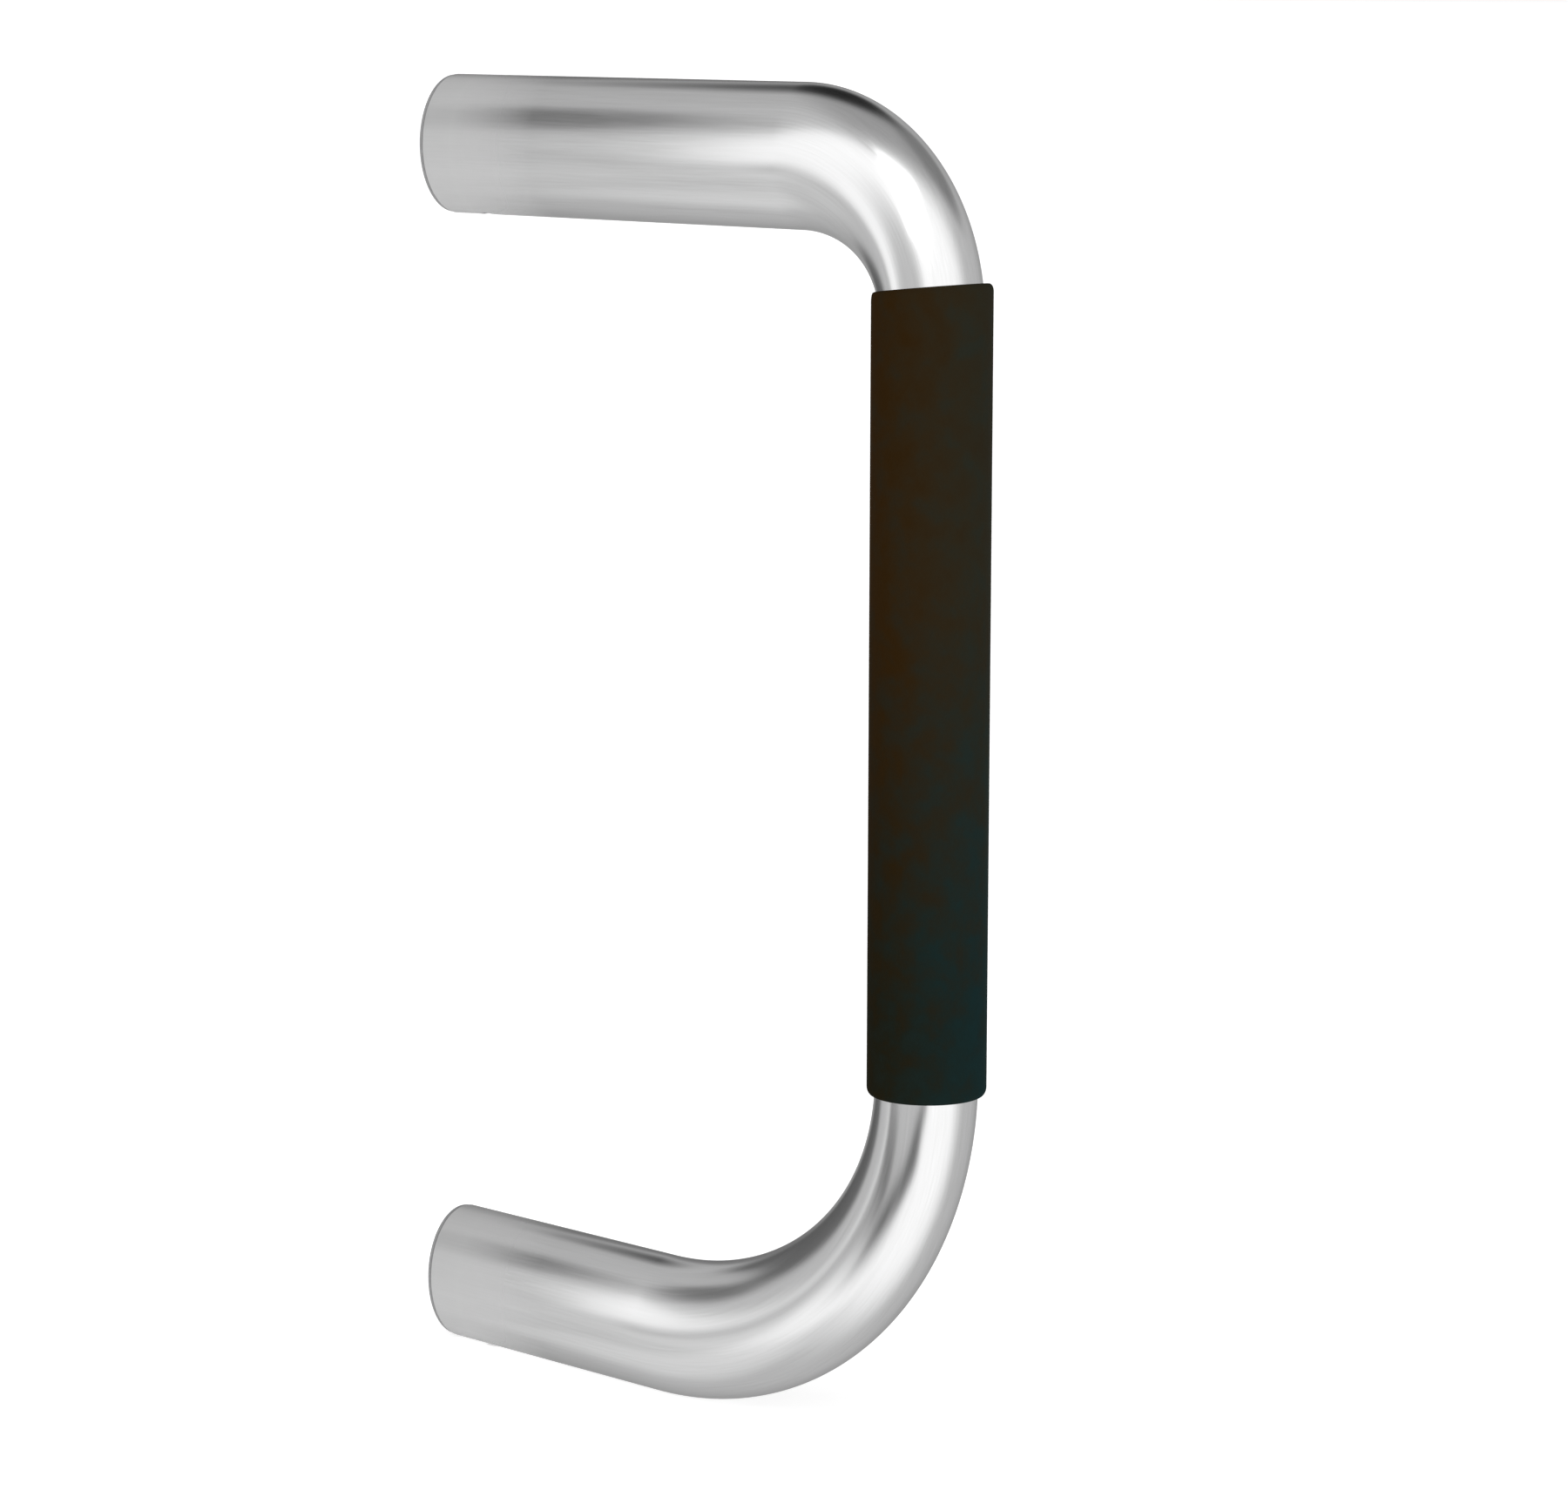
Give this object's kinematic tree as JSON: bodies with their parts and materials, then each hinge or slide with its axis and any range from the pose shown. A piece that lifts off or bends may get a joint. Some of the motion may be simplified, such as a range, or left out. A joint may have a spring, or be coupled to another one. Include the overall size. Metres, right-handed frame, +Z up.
{
  "type": "assist grab handle",
  "caption": "D-shaped assist handle: a bent satin steel tube with oval legs that stand out from a wall, and a straight black rubber grip sleeve on its upright bar.",
  "frame": {"origin": "on the wall's surface, midway between the axes of the two legs", "axes": "+X straight out of the wall along the legs, +Z up along the bar, and +Y level along the wall's surface"},
  "size_m": [0.1837, 0.0294, 0.338],
  "materials": {
    "satin_steel": "satin stainless steel, drawn grain along the tube, soft broad highlights",
    "grip_rubber": "matt black rubber, fine moulded texture, very faint mottling",
    "gasket": "matt mid grey sealing sheet",
    "spigot_aluminium": "turned aluminium, fine lathe lines",
    "bush_steel": "bright zinc-plated steel",
    "screw_steel": "black oxide steel",
    "seal_rubber": "smooth black seal rubber"
  },
  "bodies": {
    "root": {"handle_tube": "satin_steel", "grip_sleeve": "grip_rubber", "upper_wall_gasket": "gasket", "upper_mounting_spigot": "spigot_aluminium", "upper_threaded_bush": "bush_steel", "upper_grub_screw": "screw_steel", "upper_seal_ring": "seal_rubber", "lower_wall_gasket": "gasket", "lower_mounting_spigot": "spigot_aluminium", "lower_threaded_bush": "bush_steel", "lower_grub_screw": "screw_steel", "lower_seal_ring": "seal_rubber"}
  },
  "joints": []
}
